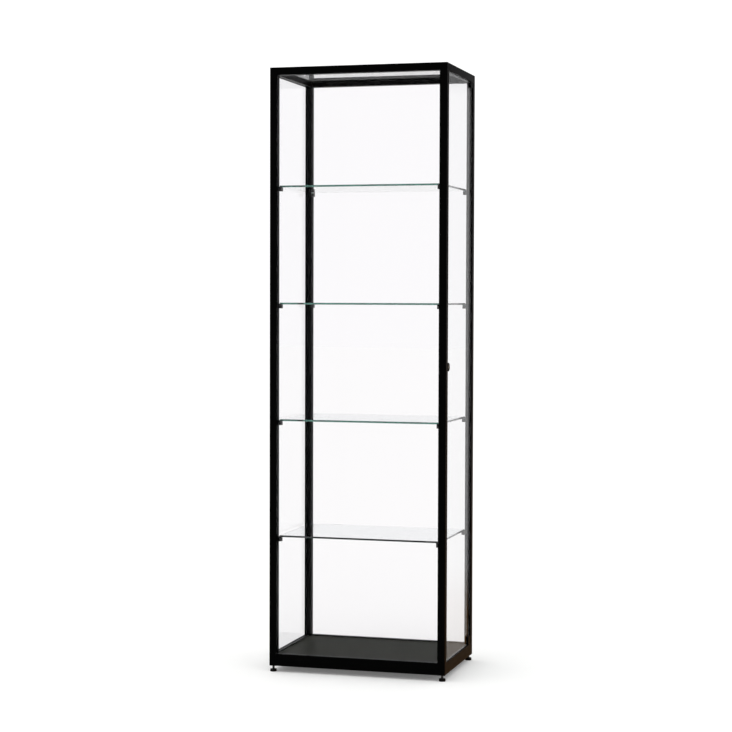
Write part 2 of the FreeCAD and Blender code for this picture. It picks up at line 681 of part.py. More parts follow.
def lock_cam():
    """Flat arm that points up when unlocked and swings forward behind the post to lock."""
    span = (CAM_FACE, CAM_FACE + CAM_THICK)
    half = CAM_WIDTH / 2
    hub = sideways(8.0, span, LOCK_V, LOCK_Z)
    arm = inset_box(span, (LOCK_V - half, LOCK_V + half), (LOCK_Z, LOCK_Z + CAM_LENGTH - half))
    tip = sideways(half, span, LOCK_V, LOCK_Z + CAM_LENGTH - half)
    square = CAM_SQUARE / 2
    hole = inset_box(span, (LOCK_V - square, LOCK_V + square), (LOCK_Z - square, LOCK_Z + square))
    return hub.fuse([arm, tip]).removeSplitter().cut(hole)


def cam_screw():
    seat = CAM_FACE + CAM_THICK
    head = sideways(CAM_SCREW_HEAD_RADIUS, (seat, seat + CAM_SCREW_HEAD), LOCK_V, LOCK_Z)
    screw = head.fuse(cam_screw_shank()).removeSplitter()
    socket = hexagon_bar(2.0, (seat + 1, seat + CAM_SCREW_HEAD), LOCK_V, LOCK_Z)
    return screw.cut(socket)


# Assembly ----------------------------------------------------------------------

def build_frame(nodes):
    for corner, post in at_corners(corner_post()).items():
        nodes["post_" + corner] = [post]
    front, left = base_rail_front(), base_rail_left()
    nodes["base_rail_front"] = [front]
    nodes["base_rail_rear"] = [to_rear(front)]
    nodes["base_rail_left"] = [left]
    nodes["base_rail_right"] = [to_right(left.cut(bush_sockets()))]
    ring = top_ring()
    front, left = ring.common(mitre_wedge_front()), ring.common(mitre_wedge_left())
    nodes["top_rail_front"] = [front]
    nodes["top_rail_rear"] = [to_rear(front)]
    nodes["top_rail_left"] = [left]
    nodes["top_rail_right"] = [to_right(left.cut(bush_sockets()))]
    nodes["top_corner_connectors"] = all_corners(top_connector())
    nodes["base_spigots"] = base_spigots()
    nodes["base_corner_brackets"] = all_corners(corner_bracket())
    nodes["bracket_screws"] = bracket_screws()
    nodes["deck_panel"] = [deck_panel()]


def build_fixed_glass(nodes):
    nodes["glass_front"] = [front_pane()]
    nodes["glass_rear"] = [to_rear(front_pane())]
    nodes["glass_left"] = [left_pane()]
    nodes["glass_top"] = [glass_lid()]
    nodes["pane_seals"] = [front_seal(), to_rear(front_seal()), left_seal(), lid_seal()]


def build_feet(nodes):
    nodes["foot_inserts"] = all_corners(foot_insert())
    for corner, disc in at_corners(foot_disc()).items():
        nodes["foot_disc_" + corner] = [disc]
    for corner, stud in at_corners(foot_stud()).items():
        nodes["foot_stud_" + corner] = [stud]


def build_shelves(nodes):
    for number in range(1, SHELF_COUNT + 1):
        top = shelf_top(number)
        name = "shelf_{}_".format(number)
        nodes[name + "glass"] = [shelf_glass(top)]
        nodes[name + "clips"] = all_corners(shelf_clip(top))
        nodes[name + "pads"] = all_corners(clip_pad(top))
        nodes[name + "bolts"] = all_corners(clip_screw(top), clip_tnut(top))


def build_door(nodes):
    nodes["door_glass"] = [to_right(door_glass())]
    nodes["door_clamp_bottom"] = [to_right(pivot_clamp(LOW_CLAMP, LOW_SLOT, LOW_GRUB_Z))]
    nodes["door_clamp_top"] = [to_right(pivot_clamp(HIGH_CLAMP, HIGH_SLOT, HIGH_GRUB_Z))]
    nodes["door_clamp_pads"] = [to_right(pad) for pad in clamp_pads()]
    nodes["door_clamp_screws"] = [to_right(screw) for screw in clamp_screws()]
    nodes["door_pivot_pins"] = [to_right(pin) for pin in pivot_pins()]
    nodes["pivot_bushes"] = [to_right(bush) for bush in pivot_bushes()]
    nodes["door_seals"] = [to_right(strip) for strip in door_seals()]
    nodes["lock_housing"] = [to_right(lock_housing())]
    nodes["lock_nut"] = [to_right(lock_nut())]
    nodes["lock_plug"] = [to_right(lock_plug())]
    nodes["lock_cam"] = [to_right(lock_cam())]
    nodes["lock_cam_screw"] = [to_right(cam_screw())]


def main():
    nodes = {}
    build_frame(nodes)
    build_fixed_glass(nodes)
    build_feet(nodes)
    build_shelves(nodes)
    build_door(nodes)
    os.makedirs("parts", exist_ok=True)
    for name, solids in nodes.items():
        shape = solids[0] if len(solids) == 1 else Part.makeCompound(solids)
        if not shape.isValid():
            raise ValueError("invalid shape: " + name)
        shape.exportStep("parts/{}.step".format(name))
    print(len(nodes), "nodes")


main()
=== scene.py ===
"""Looks for the tall glass display cabinet, laid out as a Blender add-on and run as a script.

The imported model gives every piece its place. Frame, glass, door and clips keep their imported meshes, with
softened edges and real finishes. The foot discs, their studs and the lock's rose are turned here, each on
its own axis. Lengths are in metres, +X to the cabinet's right, its front at -Y, +Z up.
"""

import math

import bmesh
import bpy
from mathutils import Matrix, Vector


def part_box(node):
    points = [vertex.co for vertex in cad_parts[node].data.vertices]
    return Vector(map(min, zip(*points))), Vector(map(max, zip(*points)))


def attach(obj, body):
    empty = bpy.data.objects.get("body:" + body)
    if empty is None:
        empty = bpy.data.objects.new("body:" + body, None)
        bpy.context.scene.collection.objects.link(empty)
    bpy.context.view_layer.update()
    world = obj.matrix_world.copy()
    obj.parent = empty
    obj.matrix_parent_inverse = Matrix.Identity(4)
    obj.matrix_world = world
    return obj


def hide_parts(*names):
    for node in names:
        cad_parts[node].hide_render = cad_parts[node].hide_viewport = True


bl_info = {
    "name": "Glass display cabinet",
    "version": (1, 0, 0),
    "blender": (4, 5, 0),
    "location": "3D View > Sidebar > Cabinet",
    "description": "Finishes the frame, glass, shelves, door, lock and feet of a glass display cabinet",
    "category": "Object",
}

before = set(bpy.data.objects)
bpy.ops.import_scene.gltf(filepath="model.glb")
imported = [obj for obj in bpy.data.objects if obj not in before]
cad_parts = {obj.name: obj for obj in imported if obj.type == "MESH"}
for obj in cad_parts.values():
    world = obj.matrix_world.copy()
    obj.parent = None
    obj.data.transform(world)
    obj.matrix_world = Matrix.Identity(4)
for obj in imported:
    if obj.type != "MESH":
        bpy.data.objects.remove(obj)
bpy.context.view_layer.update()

CORNERS = ("front_left", "front_right", "rear_left", "rear_right")
SIDES = ("front", "rear", "left", "right")
SHELVES = (1, 2, 3, 4)
MM = 0.001
FLOAT_GLASS_INDEX = 1.52
# Matched to how little the upright panes mirror; it stands for coated glass and is no real index.
LOW_REFLECTION_INDEX = 1.10


# Settings -----------------------------------------------------------------------------------------

class CabinetColours(bpy.types.PropertyGroup):
    """Colours of the cabinet's materials, as sRGB hex values."""

    coat: bpy.props.StringProperty(
        name="Powder coat", description="Black coat of the aluminium frame", default="#030303")
    coat_light: bpy.props.StringProperty(
        name="Coat, thin", description="The coat where it lies thinner over the grain", default="#060606")
    deck: bpy.props.StringProperty(
        name="Deck", description="Dark grey melamine of the floor board", default="#333430")
    deck_fleck: bpy.props.StringProperty(
        name="Deck fleck", description="Darker mottling in the melamine", default="#2A2B27")
    glass: bpy.props.StringProperty(
        name="Glass", description="What one sheet of the glass lets through", default="#F8F7F8")
    glass_depth: bpy.props.StringProperty(
        name="Glass in depth", description="Tint that builds up along the glass", default="#00AF9D")
    arris: bpy.props.StringProperty(
        name="Ground arris", description="Glass where its edge is ground", default="#DDEBE7")
    rubber: bpy.props.StringProperty(
        name="Rubber", description="Glazing channels and door seals", default="#0B0B0B")
    nylon: bpy.props.StringProperty(
        name="Nylon", description="Foot discs", default="#0D0D0E")
    zinc: bpy.props.StringProperty(
        name="Zinc", description="Bright zinc plate on studs, brackets and inserts", default="#C3C7CB")
    nickel: bpy.props.StringProperty(
        name="Nickel", description="Plate on the lock's cylinder", default="#CFCBC3")
    black_oxide: bpy.props.StringProperty(
        name="Black oxide", description="Clip and clamp screws", default="#2A2A2C")
    anodic: bpy.props.StringProperty(
        name="Black anodic film", description="Shelf clips", default="#0F0F11")
    silicone: bpy.props.StringProperty(
        name="Silicone", description="Pads between clips and shelves", default="#DDE3E1")
    bronze: bpy.props.StringProperty(
        name="Bronze", description="Pivot bushes", default="#9A7448")
    cast: bpy.props.StringProperty(
        name="Cast aluminium", description="Corner connectors and spigots", default="#A9ABAD")
    fibre: bpy.props.StringProperty(
        name="Fibre", description="Pads in the door clamps", default="#1B1A18")


class CabinetSizes(bpy.types.PropertyGroup):
    """Edge rounding and turned details that a maker would change."""

    frame_edge: bpy.props.FloatProperty(
        name="Frame edge", description="Rounding of the coated profile's edges",
        default=0.35 * MM, unit="LENGTH", precision=5)
    pane_arris: bpy.props.FloatProperty(
        name="Pane arris", description="Ground edge of the panes",
        default=0.7 * MM, unit="LENGTH", precision=5)
    shelf_arris: bpy.props.FloatProperty(
        name="Shelf arris", description="Polished edge of the shelves",
        default=0.9 * MM, unit="LENGTH", precision=5)
    fitting_edge: bpy.props.FloatProperty(
        name="Fitting edge", description="Rounding of clips and clamps",
        default=0.45 * MM, unit="LENGTH", precision=5)
    deck_edge: bpy.props.FloatProperty(
        name="Deck edge", description="Rounding of the floor board's edges",
        default=0.5 * MM, unit="LENGTH", precision=5)
    pin_edge: bpy.props.FloatProperty(
        name="Pin edge", description="Rounding of pivot pins, connectors and spigots",
        default=0.3 * MM, unit="LENGTH", precision=5)
    hardware_edge: bpy.props.FloatProperty(
        name="Hardware edge", description="Rounding of plated steel hardware",
        default=0.25 * MM, unit="LENGTH", precision=5)
    small_edge: bpy.props.FloatProperty(
        name="Small edge", description="Rounding of pads, bushes and the lock's cylinder",
        default=0.2 * MM, unit="LENGTH", precision=5)
    screw_edge: bpy.props.FloatProperty(
        name="Screw edge", description="Rounding of screws and seals",
        default=0.15 * MM, unit="LENGTH", precision=5)
    thread_pitch: bpy.props.FloatProperty(
        name="Thread pitch", description="Pitch of the foot stud's thread",
        default=1.25 * MM, unit="LENGTH", precision=5)
    thread_depth: bpy.props.FloatProperty(
        name="Thread depth", description="Depth of the foot stud's thread",
        default=0.65 * MM, unit="LENGTH", precision=5)
    disc_flutes: bpy.props.IntProperty(
        name="Disc flutes", description="Grip flutes round each foot disc", default=24)


class CabinetStage(bpy.types.PropertyGroup):
    """Camera, lights and floor."""

    camera_place: bpy.props.FloatVectorProperty(
        name="Camera place", description="Where the camera stands",
        default=(1.7298, -6.1171, 1.2429), subtype="XYZ", precision=4)
    camera_heading: bpy.props.FloatProperty(
        name="Heading", description="How far the camera turns left of +Y",
        default=math.radians(16.013), subtype="ANGLE")
    camera_tilt: bpy.props.FloatProperty(
        name="Tilt", description="How far it looks down", default=math.radians(2.059), subtype="ANGLE")
    camera_roll: bpy.props.FloatProperty(
        name="Roll", description="How far it leans", default=math.radians(0.17), subtype="ANGLE")
    camera_lens: bpy.props.FloatProperty(
        name="Lens", description="Focal length in millimetres on a 36 mm frame", default=92.91)
    floor_colour: bpy.props.StringProperty(
        name="Floor", description="Pale seamless floor", default="#F2F2F1")
    key_strength: bpy.props.FloatProperty(
        name="Key", description="Strength of the broad overhead light", default=0.5)
    key_spread: bpy.props.FloatProperty(
        name="Key spread", description="How wide the key light is, seen from the floor",
        default=math.radians(30), subtype="ANGLE")
    surround: bpy.props.FloatProperty(
        name="Surround", description="Brightness of the backdrop", default=1.12)
    ambient: bpy.props.FloatProperty(
        name="Ambient", description="Brightness of the even light from all round", default=0.98)


def colours():
    return bpy.context.scene.cabinet_colours


def sizes():
    return bpy.context.scene.cabinet_sizes


# Helpers ------------------------------------------------------------------------------------------

def linear(hex_colour):
    """An sRGB hex colour as linear RGBA."""
    channels = [int(hex_colour[place:place + 2], 16) / 255 for place in (1, 3, 5)]
    return [c / 12.92 if c <= 0.04045 else ((c + 0.055) / 1.055) ** 2.4 for c in channels] + [1.0]


def per_metre(millimetres):
    """Pattern scale that repeats once in the given size."""
    return 1000.0 / millimetres


def add(tree, kind, settings=None, links=None):
    """Adds a node. Lower-case settings are its own options, any others are input sockets."""
    node = tree.nodes.new(kind)
    for name, value in (settings or {}).items():
        if isinstance(name, str) and name.islower():
            setattr(node, name, value)
        else:
            node.inputs[name].default_value = value
    for name, source in (links or {}).items():
        tree.links.new(source, node.inputs[name])
    return node


def new_material(name):
    """An empty node material with its output node."""
    material = bpy.data.materials.new(name)
    material.use_nodes = True
    material.node_tree.nodes.clear()
    output = add(material.node_tree, "ShaderNodeOutputMaterial")
    return material, material.node_tree, output


def once(maker):
    """Keeps the material that a maker function returns, so that pieces share it."""
    made = []

    def shared():
        if not made:
            made.append(maker())
        return made[0]

    return shared


def finish_node(name, material):
    """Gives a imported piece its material."""
    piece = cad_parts[name]
    if piece.material_slots:
        piece.material_slots[0].material = material
    else:
        piece.data.materials.append(material)
    return piece


def soften(piece, width, segments=2, arris=None):
    """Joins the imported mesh's seams and rounds its sharp edges; arris is the rounding's own material."""
    normals = piece.data.attributes.get("custom_normal")
    if normals:
        piece.data.attributes.remove(normals)
    weld = piece.modifiers.new("weld", "WELD")
    weld.merge_threshold = 0.002 * MM
    bevel = piece.modifiers.new("soften", "BEVEL")
    bevel.width = width
    bevel.segments = segments
    bevel.limit_method = "ANGLE"
    bevel.angle_limit = math.radians(44)
    bevel.harden_normals = True
    bevel.miter_outer = "MITER_ARC"
    if arris is not None:
        piece.data.materials.append(arris)
        bevel.material = len(piece.material_slots) - 1
    for polygon in piece.data.polygons:
        polygon.use_smooth = True


def turned(name, profile, axis_point, axis, steps, radius_change=None):
    """A piece turned on an axis from (radius, height) pairs.

    radius_change(angle, height) gives what is added to the radius there.
    """
    mesh = bpy.data.meshes.new(name)
    work = bmesh.new()
    rings = []
    for radius, height in profile:
        if radius == 0:
            rings.append([work.verts.new((0, 0, height))])
            continue
        ring = []
        for step in range(steps):
            angle = 2 * math.pi * step / steps
            reach = radius + (radius_change(angle, height) if radius_change else 0)
            ring.append(work.verts.new((reach * math.cos(angle), reach * math.sin(angle), height)))
        rings.append(ring)
    for low, high in zip(rings, rings[1:]):
        for step in range(steps):
            after = (step + 1) % steps
            corners = [low[step % len(low)], low[after % len(low)],
                       high[after % len(high)], high[step % len(high)]]
            face = list(dict.fromkeys(corners))
            if len(face) > 2:
                work.faces.new(face)
    bmesh.ops.recalc_face_normals(work, faces=work.faces)
    turn = Vector((0, 0, 1)).rotation_difference(Vector(axis)).to_matrix().to_4x4()
    work.transform(Matrix.Translation(axis_point) @ turn)
    work.to_mesh(mesh)
    work.free()
    mesh.shade_smooth()
    piece = bpy.data.objects.new(name, mesh)
    bpy.context.scene.collection.objects.link(piece)
    return piece


def arc(centre, radius, start, end, steps=5):
    """Points of a quarter-round or other arc in a turned profile, angles in degrees."""
    points = []
    for step in range(steps + 1):
        angle = math.radians(start + (end - start) * step / steps)
        points.append((centre[0] + radius * math.cos(angle), centre[1] + radius * math.sin(angle)))
    return points


# Materials ----------------------------------------------------------------------------------------

@once
def powder_coated_aluminium():
    """Satin black polyester powder on aluminium: a soft sheen broken by fine orange peel."""
    material, tree, output = new_material("powder_coated_aluminium_satin")
    place = add(tree, "ShaderNodeTexCoord").outputs["Object"]
    peel = add(tree, "ShaderNodeTexNoise", {"Scale": per_metre(1.4), "Detail": 3.0, "Roughness": 0.45},
               {"Vector": place})
    # Real flow marks are under 5 mm; drawn at 18 mm so that they still show on the whole cabinet.
    flow = add(tree, "ShaderNodeTexNoise", {"Scale": per_metre(18), "Detail": 2.0}, {"Vector": place})
    tone = add(tree, "ShaderNodeMix",
               {"data_type": "RGBA", 6: linear(colours().coat), 7: linear(colours().coat_light)},
               {0: flow.outputs["Fac"]})
    gloss = add(tree, "ShaderNodeMapRange", {"To Min": 0.34, "To Max": 0.46},
                {"Value": flow.outputs["Fac"]})
    skin = add(tree, "ShaderNodeBump", {"Strength": 0.22, "Distance": 0.06 * MM},
               {"Height": peel.outputs["Fac"]})
    shader = add(tree, "ShaderNodeBsdfPrincipled", {"IOR": 1.5, "Specular IOR Level": 0.06},
                 {"Base Color": tone.outputs[2], "Roughness": gloss.outputs["Result"],
                  "Normal": skin.outputs["Normal"]})
    tree.links.new(shader.outputs["BSDF"], output.inputs["Surface"])
    return material


def clear_glass(name, index, base, roughness=0.0, absorption=0.0):
    """Clear glass that lets lamps through, with a tint that only shows along its depth."""
    material, tree, output = new_material(name)
    place = add(tree, "ShaderNodeTexCoord").outputs["Object"]
    # Tempering rollers leave shallow waves, which bend reflections a little. The texture's bands repeat
    # every pi / 10 of its coordinate, so at this scale the waves are about 163 mm apart.
    wave = add(tree, "ShaderNodeTexWave",
               {"wave_type": "BANDS", "bands_direction": "Z", "Scale": per_metre(520), "Distortion": 1.5},
               {"Vector": place})
    bend = add(tree, "ShaderNodeBump", {"Strength": 0.15, "Distance": 0.05 * MM},
               {"Height": wave.outputs["Fac"]})
    glass = add(tree, "ShaderNodeBsdfPrincipled",
                {"Base Color": linear(base), "Roughness": roughness, "IOR": index,
                 "Transmission Weight": 1.0},
                {"Normal": bend.outputs["Normal"]})
    clear = add(tree, "ShaderNodeBsdfTransparent", {"Color": (0.98, 0.98, 0.98, 1.0)})
    path = add(tree, "ShaderNodeLightPath")
    surface = add(tree, "ShaderNodeMixShader",
                  links={0: path.outputs["Is Shadow Ray"], 1: glass.outputs["BSDF"],
                         2: clear.outputs["BSDF"]})
    tree.links.new(surface.outputs["Shader"], output.inputs["Surface"])
    if absorption:
        depth = add(tree, "ShaderNodeVolumeAbsorption",
                    {"Color": linear(colours().glass_depth), "Density": absorption})
        tree.links.new(depth.outputs["Volume"], output.inputs["Volume"])
    return material


@once
def low_reflection_pane():
    """Tempered panes that mirror little: nearly colourless through the face, green along the sheet."""
    return clear_glass("tempered_low_reflection_glass_pane", LOW_REFLECTION_INDEX, colours().glass,
                       absorption=1.5)


@once
def float_lid():
    """Plain tempered float glass, which mirrors strongly at the low angles that the lid is seen from."""
    return clear_glass("tempered_float_glass_lid", FLOAT_GLASS_INDEX, colours().glass, absorption=1.5)


@once
def float_shelf():
    """Tempered shelf glass with polished edges, deep green-grey because light runs along the sheet."""
    return clear_glass("tempered_float_glass_shelf", FLOAT_GLASS_INDEX, colours().glass, absorption=7.0)


@once
def ground_glass_arris():
    """The narrow ground bevel along a pane's edge, silky and slightly paler than the polished faces."""
    return clear_glass("ground_glass_arris", FLOAT_GLASS_INDEX, colours().arris, roughness=0.35)


@once
def melamine_board():
    """Dark grey melamine with a pearl emboss: matt, evenly mottled, a dull sheen at low angles."""
    material, tree, output = new_material("melamine_board_pearl_embossed")
    place = add(tree, "ShaderNodeTexCoord").outputs["Object"]
    pearl = add(tree, "ShaderNodeTexVoronoi",
                {"feature": "SMOOTH_F1", "Scale": per_metre(1.6), "Smoothness": 0.8}, {"Vector": place})
    mottle = add(tree, "ShaderNodeTexNoise", {"Scale": per_metre(9), "Detail": 4.0, "Roughness": 0.6},
                 {"Vector": place})
    tone = add(tree, "ShaderNodeMix",
               {"data_type": "RGBA", 6: linear(colours().deck), 7: linear(colours().deck_fleck)},
               {0: mottle.outputs["Fac"]})
    gloss = add(tree, "ShaderNodeMapRange", {"To Min": 0.42, "To Max": 0.56},
                {"Value": mottle.outputs["Fac"]})
    emboss = add(tree, "ShaderNodeBump", {"Strength": 0.35, "Distance": 0.08 * MM},
                 {"Height": pearl.outputs["Distance"]})
    shader = add(tree, "ShaderNodeBsdfPrincipled", {"IOR": 1.45, "Specular IOR Level": 0.008},
                 {"Base Color": tone.outputs[2], "Roughness": gloss.outputs["Result"],
                  "Normal": emboss.outputs["Normal"]})
    tree.links.new(shader.outputs["BSDF"], output.inputs["Surface"])
    return material


def grained(name, light, dark, grain_mm, roughness, settings, bump_mm=0.03):
    """A surface whose tone, gloss and relief follow one fine grain."""
    material, tree, output = new_material(name)
    place = add(tree, "ShaderNodeTexCoord").outputs["Object"]
    grain = add(tree, "ShaderNodeTexNoise", {"Scale": per_metre(grain_mm), "Detail": 4.0},
                {"Vector": place})
    tone = add(tree, "ShaderNodeMix", {"data_type": "RGBA", 6: dark, 7: light}, {0: grain.outputs["Fac"]})
    gloss = add(tree, "ShaderNodeMapRange", {"To Min": roughness[0], "To Max": roughness[1]},
                {"Value": grain.outputs["Fac"]})
    relief = add(tree, "ShaderNodeBump", {"Strength": 0.3, "Distance": bump_mm * MM},
                 {"Height": grain.outputs["Fac"]})
    shader = add(tree, "ShaderNodeBsdfPrincipled", settings,
                 {"Base Color": tone.outputs[2], "Roughness": gloss.outputs["Result"],
                  "Normal": relief.outputs["Normal"]})
    tree.links.new(shader.outputs["BSDF"], output.inputs["Surface"])
    return material


def darker(colour, share):
    """The same hue with less light."""
    return [channel * share for channel in colour[:3]] + [1.0]


@once
def extruded_rubber():
    """Black EPDM, extruded: flat black with a faint bloom."""
    tone = linear(colours().rubber)
    return grained("epdm_rubber_extruded", tone, darker(tone, 0.6), 2.5, (0.6, 0.75),
                   {"IOR": 1.5, "Specular IOR Level": 0.25})


@once
def moulded_nylon():
    """Black nylon, moulded with spark-eroded grain: soft, low sheen."""
    tone = linear(colours().nylon)
    return grained("nylon_moulded_fine_grain", tone, darker(tone, 0.7), 0.8, (0.4, 0.55),
                   {"IOR": 1.53, "Specular IOR Level": 0.4}, 0.05)


@once
def zinc_plated_steel():
    """Bright zinc plate: cool silver with cloudy patches, sharp glints on the thread."""
    tone = linear(colours().zinc)
    return grained("zinc_plated_steel_bright", tone, darker(tone, 0.8), 3.0, (0.18, 0.34),
                   {"Metallic": 1.0})


@once
def nickel_plated_brass():
    """Satin nickel on the lock's turning cylinder: warm silver, fine turning grain."""
    tone = linear(colours().nickel)
    return grained("nickel_plated_brass_satin", tone, darker(tone, 0.85), 0.6, (0.2, 0.32),
                   {"Metallic": 1.0}, 0.01)


@once
def black_oxide_steel():
    """Blackened screws: dark metal with an oily sheen."""
    tone = linear(colours().black_oxide)
    return grained("black_oxide_steel", tone, darker(tone, 0.6), 1.2, (0.3, 0.45), {"Metallic": 1.0})


@once
def black_anodised_aluminium():
    """Black anodised clip blocks: deep black with a dry metallic sheen from the bead-blasted surface."""
    tone = linear(colours().anodic)
    return grained("black_anodised_aluminium_blasted", tone, darker(tone, 0.7), 0.5, (0.38, 0.5),
                   {"IOR": 1.6, "Specular IOR Level": 0.4}, 0.02)


@once
def silicone_rubber():
    """Translucent silicone pads: milky, soft edges."""
    tone = linear(colours().silicone)
    return grained("silicone_rubber_translucent", tone, darker(tone, 0.9), 2.0, (0.45, 0.55),
                   {"IOR": 1.41, "Subsurface Weight": 0.4, "Subsurface Scale": 0.5 * MM})


@once
def sintered_bronze():
    """Oil-filled sintered bronze: dull golden brown, open fine pores."""
    tone = linear(colours().bronze)
    return grained("sintered_bronze_oiled", tone, darker(tone, 0.65), 0.4, (0.35, 0.5), {"Metallic": 1.0})


@once
def die_cast_aluminium():
    """As-cast aluminium: pale grey, dull, with flow patches."""
    tone = linear(colours().cast)
    return grained("aluminium_die_cast", tone, darker(tone, 0.75), 4.0, (0.4, 0.6),
                   {"Metallic": 1.0}, 0.06)


@once
def vulcanised_fibre():
    """Dark fibre pads: dry and matt."""
    tone = linear(colours().fibre)
    return grained("vulcanised_fibre", tone, darker(tone, 0.7), 1.0, (0.7, 0.85),
                   {"IOR": 1.5, "Specular IOR Level": 0.2})


# Pieces -------------------------------------------------------------------------------------------

class CABINET_OT_frame(bpy.types.Operator):
    """Coat the posts and rails and round their edges"""

    bl_idname = "cabinet.frame"
    bl_label = "Frame"

    def execute(self, context):
        names = ["post_" + corner for corner in CORNERS]
        names += [rail + side for rail in ("base_rail_", "top_rail_") for side in SIDES]
        for name in names:
            piece = finish_node(name, powder_coated_aluminium())
            soften(piece, sizes().frame_edge)
        return {"FINISHED"}


class CABINET_OT_panes(bpy.types.Operator):
    """Glaze the fixed sides, the lid and the door with tempered glass"""

    bl_idname = "cabinet.panes"
    bl_label = "Panes"

    def execute(self, context):
        upright = ("glass_front", "glass_rear", "glass_left", "door_glass")
        sheets = [(name, low_reflection_pane()) for name in upright] + [("glass_top", float_lid())]
        for name, material in sheets:
            soften(finish_node(name, material), sizes().pane_arris, 1, ground_glass_arris())
        return {"FINISHED"}


class CABINET_OT_shelves(bpy.types.Operator):
    """Polish the four glass shelves"""

    bl_idname = "cabinet.shelves"
    bl_label = "Shelves"

    def execute(self, context):
        for number in SHELVES:
            piece = finish_node("shelf_{}_glass".format(number), float_shelf())
            soften(piece, sizes().shelf_arris, 3)
        return {"FINISHED"}


class CABINET_OT_clips(bpy.types.Operator):
    """Finish the shelf clips, their pads, screws and T-nuts"""

    bl_idname = "cabinet.clips"
    bl_label = "Shelf clips"

    def execute(self, context):
        for number in SHELVES:
            name = "shelf_{}_".format(number)
            soften(finish_node(name + "clips", black_anodised_aluminium()), sizes().fitting_edge)
            soften(finish_node(name + "pads", silicone_rubber()), sizes().small_edge)
            soften(finish_node(name + "bolts", black_oxide_steel()), sizes().screw_edge)
        return {"FINISHED"}


class CABINET_OT_deck(bpy.types.Operator):
    """Face the floor board with dark grey melamine"""

    bl_idname = "cabinet.deck"
    bl_label = "Deck"

    def execute(self, context):
        soften(finish_node("deck_panel", melamine_board()), sizes().deck_edge)
        return {"FINISHED"}


class CABINET_OT_seals(bpy.types.Operator):
    """Finish the glazing channels and the door's seals"""

    bl_idname = "cabinet.seals"
    bl_label = "Seals"

    def execute(self, context):
        for name in ("pane_seals", "door_seals"):
            soften(finish_node(name, extruded_rubber()), sizes().screw_edge)
        return {"FINISHED"}


class CABINET_OT_door_fittings(bpy.types.Operator):
    """Finish the door's pivot clamps, pads, screws, pins and bushes"""

    bl_idname = "cabinet.door_fittings"
    bl_label = "Door fittings"

    def execute(self, context):
        for name in ("door_clamp_bottom", "door_clamp_top"):
            soften(finish_node(name, powder_coated_aluminium()), sizes().fitting_edge)
        soften(finish_node("door_clamp_screws", black_oxide_steel()), sizes().screw_edge)
        finish_node("door_clamp_pads", vulcanised_fibre())
        soften(finish_node("door_pivot_pins", zinc_plated_steel()), sizes().pin_edge)
        soften(finish_node("pivot_bushes", sintered_bronze()), sizes().small_edge)
        return {"FINISHED"}


def lock_rose():
    """Round rose with a rolled rim and a shallow dish round the cylinder, and the barrel behind it."""
    low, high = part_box("lock_housing")
    middle = (low + high) / 2
    rose = (high.z - low.z) / 2
    depth = high.x - low.x
    bore = 6.05 * MM
    barrel = 8.5 * MM
    flange = 4.2 * MM
    under_edge = 0.3 * MM
    rim = 1.6 * MM
    lip = 0.8 * MM
    lip_start = rose - rim - 1.2 * MM
    dish_edge = bore + 2.4 * MM
    dish_floor = depth - 0.9 * MM
    collar = bore + 1.8 * MM
    collar_top = depth - 0.1 * MM
    collar_edge = 0.4 * MM
    profile = [(bore, 0), (barrel, 0), (barrel, depth - flange), (rose - under_edge, depth - flange)]
    profile += arc((rose - under_edge, depth - flange + under_edge), under_edge, -90, 0, 3)[1:]
    profile += arc((rose - rim, depth - rim), rim, 0, 90, 7)
    profile += [(lip_start, depth)]
    profile += arc((lip_start - lip, depth - lip), lip, 90, 180, 4)[1:]
    profile += [(dish_edge, dish_floor)]
    profile += arc((collar - collar_edge, collar_top - collar_edge), collar_edge, 0, 90, 3)
    profile += arc((bore + collar_edge, collar_top - collar_edge), collar_edge, 90, 180, 3)
    profile += [(bore, 0)]
    return turned("lock_rose_and_barrel", profile, Vector((low.x, middle.y, middle.z)), (1, 0, 0),
                  steps=72)


class CABINET_OT_lock(bpy.types.Operator):
    """Turn the lock's rose and finish its nut, cylinder, cam and screw"""

    bl_idname = "cabinet.lock"
    bl_label = "Lock"

    def execute(self, context):
        rose = lock_rose()
        rose.data.materials.append(powder_coated_aluminium())
        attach(rose, "door")
        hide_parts("lock_housing")
        soften(finish_node("lock_plug", nickel_plated_brass()), sizes().small_edge)
        for name in ("lock_nut", "lock_cam", "lock_cam_screw"):
            soften(finish_node(name, zinc_plated_steel()), sizes().hardware_edge)
        return {"FINISHED"}


def foot_disc(corner):
    """Nylon disc with a rounded sole, a fluted rim and a raised hub round the stud."""
    low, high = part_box("foot_disc_" + corner)
    middle = (low + high) / 2
    radius = (high.x - low.x) / 2
    tall = high.z - low.z
    rim_edge = 1.0 * MM
    shoulder = tall - 1.0 * MM
    hub = 5.2 * MM
    hub_edge = 0.4 * MM
    socket = 3.9 * MM
    socket_floor = tall - 1.5 * MM
    profile = [(0, 0), (radius - rim_edge, 0)]
    profile += arc((radius - rim_edge, rim_edge), rim_edge, -90, 0)[1:]
    profile += [(radius, shoulder * share) for share in (0.35, 0.6)]
    profile += arc((radius - rim_edge, shoulder - rim_edge), rim_edge, 0, 90)
    profile += arc((hub + hub_edge, shoulder + hub_edge), hub_edge, 270, 180, 3)
    profile += arc((hub - hub_edge, tall - hub_edge), hub_edge, 0, 90, 4)
    profile += [(socket, tall), (socket, socket_floor), (0, socket_floor)]
    flutes = sizes().disc_flutes
    half_flute = 0.25 * MM

    def flute(angle, height):
        inside_rim = rim_edge < height < shoulder - rim_edge
        return -half_flute * (1 + math.cos(angle * flutes)) if inside_rim else 0

    return turned("foot_disc_turned_" + corner, profile, Vector((middle.x, middle.y, low.z)), (0, 0, 1),
                  steps=flutes * 6, radius_change=flute)


